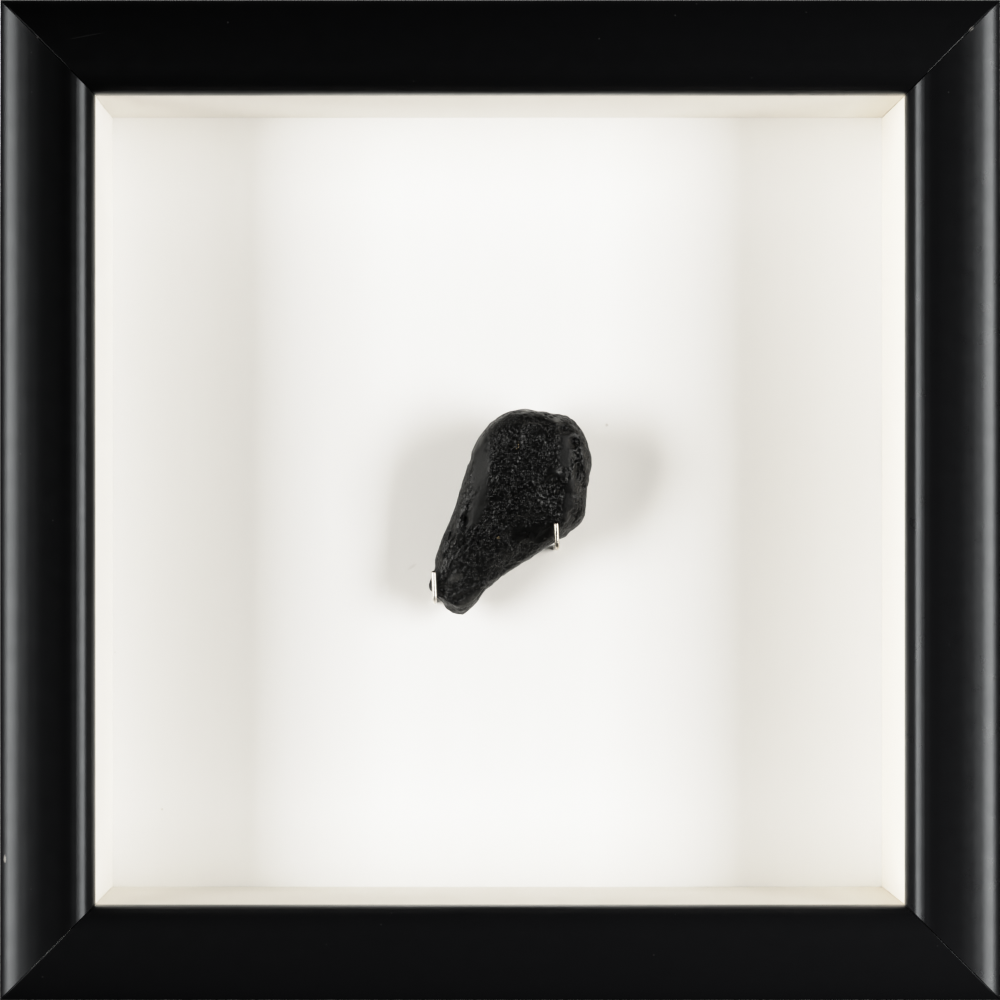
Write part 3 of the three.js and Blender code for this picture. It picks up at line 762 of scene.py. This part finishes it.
FROSTED_PATCHES = [  # from, to, half width
    ((-15.8, -23.3), (-12.3, -24.6), 1.2),  # broken end, left and right of its ridge
    ((-12.3, -24.0), (-8.6, -21.4), 1.6),
    ((-6.5, -19.0), (10.2, -7.7), 0.9),  # long lower edge
    ((-14.2, -16.9), (-12.6, -16.3), 0.8),
]


def away_from_line(x, z, start, end):
    run = np.subtract(end, start)
    along = np.clip(((x - start[0]) * run[0] + (z - start[1]) * run[1]) / (run @ run), 0, 1)
    return np.hypot(x - start[0] - along * run[0], z - start[1] - along * run[1])


def write_attribute(mesh, name, values):
    attribute = mesh.attributes.new(name, "FLOAT", "POINT")
    attribute.data.foreach_set("value", values.astype(np.float32))


corners, normals = corners_and_normals(stone.data)
right, up = corners[:, 0] - STONE_X, corners[:, 2] - STONE_Z
in_front = np.clip(-normals[:, 1] * 4 + 0.5, 0, 1)
bare_share = np.zeros(len(corners))
worn_share = np.maximum(
    0.3 * np.clip((normals[:, 1] + 0.95) / 0.1, 0, 1),  # wherever the stone turns away
    0.3 * np.clip((-8 - up) / 8, 0, 1),  # and over the narrow end
)
for start, end, half_width, wear in BARE_PATCHES:
    away = away_from_line(right, up, start, end) / half_width
    share = in_front * (1 - np.clip((away - 0.7) / 0.6, 0, 1))
    bare_share = np.maximum(bare_share, share)
    worn_share = np.maximum(worn_share, share * wear)
write_attribute(stone.data, "bare", bare_share)
write_attribute(stone.data, "worn", worn_share)
frosted_share = np.zeros(len(corners))
for start, end, half_width in FROSTED_PATCHES:
    away = away_from_line(right, up, start, end) / half_width
    frosted_share = np.maximum(frosted_share, in_front * (1 - np.clip((away - 0.5) / 0.8, 0, 1)))
write_attribute(stone.data, "frosted", frosted_share)
write_attribute(stone.data, "steep", np.clip((normals[:, 1] + 0.75) / 0.25, 0, 1))
print(f"bare: {bare_share.mean():.0%}, worn: {worn_share.mean():.0%} of the corners")

# %% [markdown]
# Some marks on the face can be told apart by eye, so they get a place of their own: deep pits with
# an oval mouth, a few wide shallow ones like rings, a thin curved ridge, and a short row of dots
# that follows the way the glass once flowed.

# %% Marks that can be told apart
OVAL_PITS = [  # right, up, reach right, reach up, depth in mm
    (-11.3, -3.6, 0.55, 1.1, 0.6),
    (13.2, 14.3, 0.45, 0.7, 0.3),
    (14.2, 12.2, 0.5, 0.6, 0.35),
    (13.4, 10.0, 0.45, 0.7, 0.3),
    (13.8, 7.0, 0.45, 1.1, 0.35),
    (15.4, 4.2, 0.45, 0.8, 0.4),
    (13.9, 8.9, 0.5, 0.5, 0.25),
    (-14.7, -7.0, 0.45, 0.8, 0.4),
    (-14.8, -8.6, 0.45, 0.8, 0.4),
    (-14.9, -10.2, 0.45, 0.8, 0.4),
    (-12.4, -14.8, 0.6, 0.5, 0.3),
    (10.9, 17.2, 0.9, 0.7, 0.5),
    (13.3, -2.6, 0.9, 0.7, 0.4),
    (12.2, -1.8, 0.6, 0.5, 0.35),
    (-12.4, -24.0, 0.6, 0.35, 0.35),
]
RING_PITS = [(6.9, 4.6), (8.9, 5.0), (10.0, 2.7), (9.2, 1.9), (6.4, 0.6), (7.9, 0.4), (9.6, 0.5), (8.3, 3.4)]
DOT_ROWS = [((-0.7, -4.3), (6.3, -2.6), 10), ((5.0, -0.2), (10.6, 0.6), 6), ((-15.0, -6.2), (-15.2, -11.5), 7)]
RIDGE_LINES = [  # along the line, then half width and height
    ([(0.4, 16.2), (1.6, 17.4), (3.0, 18.1), (4.5, 18.1), (5.6, 17.7)], 0.4, 0.2),
    ([(-14.0, -20.7), (-10.5, -19.0), (-6.6, -17.9)], 0.5, 0.25),
    ([(-17.4, -20.6), (-15.0, -21.9), (-13.2, -23.2)], 0.45, 0.2),
    ([(-14.5, -17.8), (-13.0, -15.4)], 1.0, 0.3),
]
SWELLS = [  # right, up, reach and height: gentle ones, which shape the outline too
    (15.2, -3.6, 2.6, 0.35),
    (11.3, -7.3, 1.8, 0.3),
    (12.4, 19.8, 2.2, 0.25),
    (-6.0, -18.6, 2.2, 0.25),
    (-10.3, 10.2, 1.8, -0.3),
    (-4.3, 19.6, 3.0, 0.15),
]
facing = normals[:, 1] < -0.2
swelling, raised = np.zeros(len(corners)), np.zeros(len(corners))
for x, z, reach, height in SWELLS:
    swelling += height * (1 - np.clip(np.hypot(right - x, up - z) / reach, 0, 1) ** 2) ** 2
for x, z, wide, high, deep in OVAL_PITS:
    away = np.hypot((right - x) / wide, (up - z) / high)
    hollow = deep * (1 - np.clip(away, 0, 1) ** 2) ** 1.2
    lip = 0.12 * deep * np.clip(1 - np.abs(away - 1.15) / 0.25, 0, 1)
    raised += facing * (lip - hollow)
for x, z in RING_PITS:
    away = np.hypot(right - x, up - z) / 0.8
    raised += facing * (0.16 * np.clip(1 - np.abs(away - 1) / 0.3, 0, 1) - 0.12 * (away < 0.75))
for line, half_width, height in RIDGE_LINES:
    away = np.min([away_from_line(right, up, a, b) for a, b in zip(line, line[1:])], axis=0)
    raised += facing * height * np.clip(1 - (away / half_width) ** 2, 0, 1)
print(f"{len(OVAL_PITS)} oval pits, {len(RING_PITS)} rings, {len(RIDGE_LINES)} ridges")

# %% Sow and dig the small pits
rng = np.random.default_rng(11)
PIT_REACH = (0.28, 0.66)  # mm
PIT_STEEPNESS = 0.42  # depth over reach
PIT_TRIES = 26000
WIDE_DENTS = 420

tree_of_corners = kdtree.KDTree(len(corners))
for index, corner in enumerate(corners):
    tree_of_corners.insert(corner, index)
tree_of_corners.balance()

pits = []
cells_of_pits = {}


def try_pit(here, reach):
    """Adds a pit unless it would run into one that is there already."""
    cell = tuple((here // 1.5).astype(int))
    around = [(cell[0] + i, cell[1] + j, cell[2] + k) for i in (-1, 0, 1) for j in (-1, 0, 1) for k in (-1, 0, 1)]
    near = [pit for key in around for pit in cells_of_pits.get(key, ())]
    if all(np.linalg.norm(here - other) > 0.82 * (reach + r) for other, r in near):
        pits.append((here, reach))
        cells_of_pits.setdefault(cell, []).append((here, reach))


for start, end, count in DOT_ROWS:
    for share in np.linspace(0, 1, count):
        x, z = np.add(start, np.subtract(end, start) * share) + rng.normal(0, 0.1, 2)
        index = np.argmin(np.hypot(right - x, up - z) + 100 * ~facing)
        try_pit(corners[index], 0.36)
in_marks = np.abs(raised) > 0.02
for index in rng.integers(0, len(corners), PIT_TRIES):
    reach = PIT_REACH[0] + (PIT_REACH[1] - PIT_REACH[0]) * rng.random() ** 2
    if rng.random() > bare_share[index] * 0.97 and not in_marks[index]:
        try_pit(corners[index], reach)

for index in rng.integers(0, len(corners), WIDE_DENTS):
    reach = rng.uniform(0.9, 1.9)
    for _, near, away in tree_of_corners.find_range(corners[index], reach):
        raised[near] -= 0.09 * reach * (1 - 0.85 * bare_share[near]) * (1 - (away / reach) ** 2) ** 2
for centre, reach in pits:
    depth = reach * PIT_STEEPNESS
    for _, index, away in tree_of_corners.find_range(centre, reach * 1.25):
        d = away / reach
        if d < 1:
            raised[index] = min(raised[index], -depth * (1 - d * d))
        else:
            raised[index] += 0.1 * depth * (1 - (d - 1) / 0.25)
corners += normals * (raised + swelling)[:, None]
place_corners(stone.data, corners)
stone.data.materials.append(glass)
settle(stone, "pitted_tektite", ["tektite"], smooth_within=180)
print(f"{len(pits)} small pits")

# %% [markdown]
# ## Silver wire
#
# Polished wire is close to a mirror, so its colour is that of what it reflects: two bright lines
# from the soft boxes with the dark room between them. Drawing the wire through a die leaves faint
# lines along it. The cut tips, where they press on the stone, are painted dark brown as painted
# shade, and the wire on the right is duller and warmer than the one on the left.

# %% Silver wire
silver, tree, shader, place = new_finish("silver_wire", Metallic=1.0)
drawn = use_group(tree, grain, Place=place, **{"Lines per metre": (6000, 6000, 300)})
across = add_node(tree, "SeparateXYZ", {0: place}).outputs[0]
tone = blend_colours(tree, drawn["Shade"], (0.66, 0.63, 0.58), (0.93, 0.92, 0.9))
tone = blend_colours(tree, spread(tree, across, 0.0, 12 * MM, 0.0, 0.6), tone, (0.42, 0.38, 0.32))
# Painted shade: each tip is darkened to brown where it touches the stone.
painted_tip_shade = 0.0
for tip in ((-14.75, 2.2, 93.9), (13.0, -2.3, 104.9)):
    mask = use_group(tree, nick, Place=place, Centre=[v * MM for v in tip], Reach=(MM, 2 * MM, 0.7 * MM))["Mask"]
    painted_tip_shade = maths(tree, "MAXIMUM", painted_tip_shade, mask)
tree.links.new(blend_colours(tree, painted_tip_shade, tone, (0.1, 0.075, 0.055)), shader.inputs["Base Color"])
duller = spread(tree, across, 0.0, -14 * MM, 0.0, 0.16)
gloss = spread(tree, drawn["Shade"], 0.0, 1.0, 0.3, 0.24)
tree.links.new(maths(tree, "ADD", gloss, duller), shader.inputs["Roughness"])
print("finish:", silver.name)

# %% [markdown]
# ## The claws
#
# Each claw is one piece of round wire: up over the edge of the stone, through the board, and down
# its back. A curve with a round bevel is the natural way to model wire. Its corners are softened by
# short arcs, and its tip is domed by letting the radius of the last few points shrink.

# %% Claws
CLAW_ROUTES = {  # mm: tip, heel, where it is through the board, end of the tail
    "left": [(-14.7, 2.214, 93.2), (-14.45, 2.996, 86.7), (-14.45, 19, 86.7), (-14.45, 19, 74.7)],
    "right": [(13.0, -2.326, 104.3), (13.3, -1.226, 98.9), (13.3, 19, 98.9), (13.3, 19, 86.9)],
}
BEND = 1.5  # mm of wire taken up on each side of a corner
BEND_STEPS = 8
DOME_STEPS = 6


def wire_points(route):
    """Points along a bent wire as (place in mm, share of the full radius)."""
    route = [Vector(p) for p in route]
    back = (route[0] - route[1]).normalized()
    points = []
    for step in range(DOME_STEPS):
        angle = math.radians(90) * (1 - step / DOME_STEPS)
        reach = math.sin(angle) * WIRE_RADIUS / MM
        points.append((route[0] + back * reach, max(math.cos(angle), 0.02)))
    points.append((route[0], 1.0))
    for before, corner, after in zip(route, route[1:], route[2:]):
        start = corner + (before - corner).normalized() * BEND
        end = corner + (after - corner).normalized() * BEND
        for step in range(BEND_STEPS + 1):
            t = step / BEND_STEPS
            points.append((start * (1 - t) ** 2 + corner * 2 * t * (1 - t) + end * t * t, 1.0))
    points.append((route[-1], 1.0))
    return points


for side, route in CLAW_ROUTES.items():
    select_none()
    points = wire_points(route)
    line = bpy.data.curves.new("wire", "CURVE")
    line.dimensions = "3D"
    line.bevel_depth = WIRE_RADIUS
    line.bevel_resolution = 6
    line.use_fill_caps = True
    spline = line.splines.new("POLY")
    spline.points.add(len(points) - 1)
    for point, (where, share) in zip(spline.points, points):
        point.co = (*(where * MM), 1)
        point.radius = share
    wire = bpy.data.objects.new("wire", line)
    bpy.context.scene.collection.objects.link(wire)
    select_only(wire)
    bpy.ops.object.convert(target="MESH")
    wire = bpy.context.object
    wire.data.materials.clear()
    wire.data.materials.append(silver)
    settle(wire, f"bent_wire_{side}", [f"claw_{side}"], smooth_within=60)

# %% [markdown]
# ## The back
#
# A frame maker closes the back with a sheet of hardboard, held by flat steel points driven into
# the rails, and nails a sawtooth hanger to the top rail. Their solids have the right shape but
# knife edges, so each is copied, its flat faces are made whole, and its edges are rounded a
# little. The nail heads are turned new, as shallow domes.

# %% Finishes of the back
hardboard, tree, shader, place = new_finish("hardboard")
fibres = use_group(tree, clouding, Place=place, **{"Patches per metre": 900.0, "Roughness": 0.8})["Cloud"]
blotches = use_group(tree, clouding, Place=place, **{"Patches per metre": 40.0})["Cloud"]
flecks = use_group(
    tree, specks, Place=place, **{"Cells per metre": 700.0, "Size": 0.3, "Share": 0.15}
)["Mask"]
brown = blend_colours(tree, fibres, (0.105, 0.052, 0.024), (0.19, 0.105, 0.052))
brown = blend_colours(tree, maths(tree, "MULTIPLY", blotches, 0.35), brown, (0.14, 0.075, 0.036))
tree.links.new(
    blend_colours(tree, maths(tree, "MULTIPLY", flecks, 0.4), brown, (0.3, 0.2, 0.12)),
    shader.inputs["Base Color"],
)
tree.links.new(spread(tree, fibres, 0.0, 1.0, 0.5, 0.75), shader.inputs["Roughness"])
relief = add_node(tree, "Bump", {"Height": fibres, "Strength": 0.4, "Distance": 0.0001})
tree.links.new(relief.outputs["Normal"], shader.inputs["Normal"])


def sheet_metal(name, dull, bright, rough):
    finish, tree, shader, place = new_finish(name, Metallic=1.0)
    rolled = use_group(tree, grain, Place=place, **{"Lines per metre": (90, 2500, 2500)})
    tarnish = use_group(tree, clouding, Place=place, **{"Patches per metre": 350.0})["Cloud"]
    tone = maths(tree, "MULTIPLY", rolled["Shade"], tarnish)
    tree.links.new(blend_colours(tree, tone, dull, bright), shader.inputs["Base Color"])
    tree.links.new(spread(tree, tarnish, 0.0, 1.0, rough + 0.12, rough), shader.inputs["Roughness"])
    relief = add_node(tree, "Bump", {"Height": rolled["Height"], "Strength": 0.15, "Distance": 0.00002})
    tree.links.new(relief.outputs["Normal"], shader.inputs["Normal"])
    return finish


brassed_steel = sheet_metal("brassed_steel", (0.45, 0.3, 0.12), (0.8, 0.6, 0.3), 0.28)
plain_steel = sheet_metal("plain_steel", (0.35, 0.35, 0.36), (0.62, 0.63, 0.65), 0.32)
print("finishes:", hardboard.name, brassed_steel.name, plain_steel.name)


# %% Panel, points and hanger
def eased_copy(node, name, finish, edge):
    piece = copy_of_node(node)
    bpy.ops.object.mode_set(mode="EDIT")
    bpy.ops.mesh.select_all(action="SELECT")
    bpy.ops.mesh.dissolve_limited(angle_limit=math.radians(1))
    bpy.ops.object.mode_set(mode="OBJECT")
    apply_modifier(piece, "BEVEL", width=edge, segments=2, limit_method="ANGLE")
    piece.data.materials.append(finish)
    return settle(piece, name, [node])


eased_copy("back_panel", "hardboard_panel", hardboard, 0.25 * MM)
eased_copy("sawtooth_hanger", "eased_hanger", brassed_steel, 0.12 * MM)
for number in range(1, 9):
    eased_copy(
        f"panel_point_{number}", f"steel_point_{number}", plain_steel, 0.08 * MM
    )

# %% Nails with domed heads
NAIL_SPIN_STEPS = 32
for side in ("left", "right"):
    low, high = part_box(f"hanger_nail_{side}")
    axis = (low + high) / 2
    head, shank = (high.x - low.x) / 2, 0.6 * MM
    under = high.y - 0.7 * MM
    half_section = [  # away from the axis, and along it
        (0, low.y),
        (shank * 0.4, low.y + 0.5 * MM),
        (shank, low.y + 1.6 * MM),
        (shank, under),
        (head * 0.94, under),
        (head, under + 0.12 * MM),
        (head * 0.97, under + 0.3 * MM),
        (head * 0.8, under + 0.5 * MM),
        (head * 0.45, under + 0.65 * MM),
        (0, high.y),
    ]
    select_none()
    bpy.ops.mesh.primitive_circle_add(vertices=len(half_section), radius=MM, fill_type="NOTHING")
    nail = bpy.context.object
    for corner, (away, along) in zip(nail.data.vertices, half_section):
        corner.co = (axis.x + away, along, axis.z)
    bpy.ops.object.mode_set(mode="EDIT")
    bpy.ops.mesh.select_all(action="SELECT")
    bpy.ops.mesh.spin(
        steps=NAIL_SPIN_STEPS, angle=math.radians(360), center=(axis.x, 0, axis.z), axis=(0, 1, 0)
    )
    bpy.ops.mesh.select_all(action="SELECT")
    bpy.ops.mesh.remove_doubles(threshold=0.01 * MM)
    bpy.ops.mesh.normals_make_consistent(inside=False)
    bpy.ops.object.mode_set(mode="OBJECT")
    nail.data.materials.append(brassed_steel)
    settle(nail, f"domed_nail_{side}", [f"hanger_nail_{side}"], smooth_within=50)

# %% [markdown]
# ## Floor and surroundings
#
# The frame stands on a plain pale floor. The floor would hide the lower half of the front soft
# boxes from the object, so it is told not to cast shadows, and not to show in the lacquer. The
# surroundings light the object with almost nothing, and are pale only where they are looked at.
# Far from the frame the floor fades into that same grey, so no dark horizon shows.

# %% Floor and world
SURROUNDINGS = (0.6, 0.6, 0.6)

select_none()
bpy.ops.mesh.primitive_plane_add(size=8, location=(0, 0, 0))
floor = bpy.context.object
floor.name = "floor"
pale, tree, shader, place = new_finish("pale_floor", Roughness=0.8)
soft = use_group(tree, clouding, Place=place, **{"Patches per metre": 6.0})["Cloud"]
far = add_node(tree, "VectorMath", {0: place}, operation="LENGTH").outputs["Value"]
painted_sheen_and_floor_fade = spread(tree, far, 0.4, 1.5)
colour = blend_colours(tree, soft, (0.72, 0.72, 0.71), (0.75, 0.75, 0.74))
tree.links.new(blend_colours(tree, painted_sheen_and_floor_fade, colour, (0, 0, 0)), shader.inputs["Base Color"])
shader.inputs["Emission Color"].default_value = (*SURROUNDINGS, 1)
tree.links.new(painted_sheen_and_floor_fade, shader.inputs["Emission Strength"])
pale.cycles.emission_sampling = "NONE"
floor.data.materials.append(pale)
floor.visible_shadow = False
floor.visible_glossy = floor.visible_diffuse = False

world = bpy.data.worlds.new("surroundings")
bpy.context.scene.world = world
world.use_nodes = True
tree = world.node_tree
dim = tree.nodes["Background"]
dim.inputs["Color"].default_value = (0.015, 0.015, 0.015, 1)
seen = add_node(tree, "Background", {"Color": (*SURROUNDINGS, 1)})
looked_at = add_node(tree, "LightPath").outputs["Is Camera Ray"]
both = add_node(tree, "MixShader", {0: looked_at, 1: dim.outputs[0], 2: seen.outputs[0]})
tree.links.new(both.outputs[0], tree.nodes["World Output"].inputs["Surface"])
print("floor and surroundings ready")
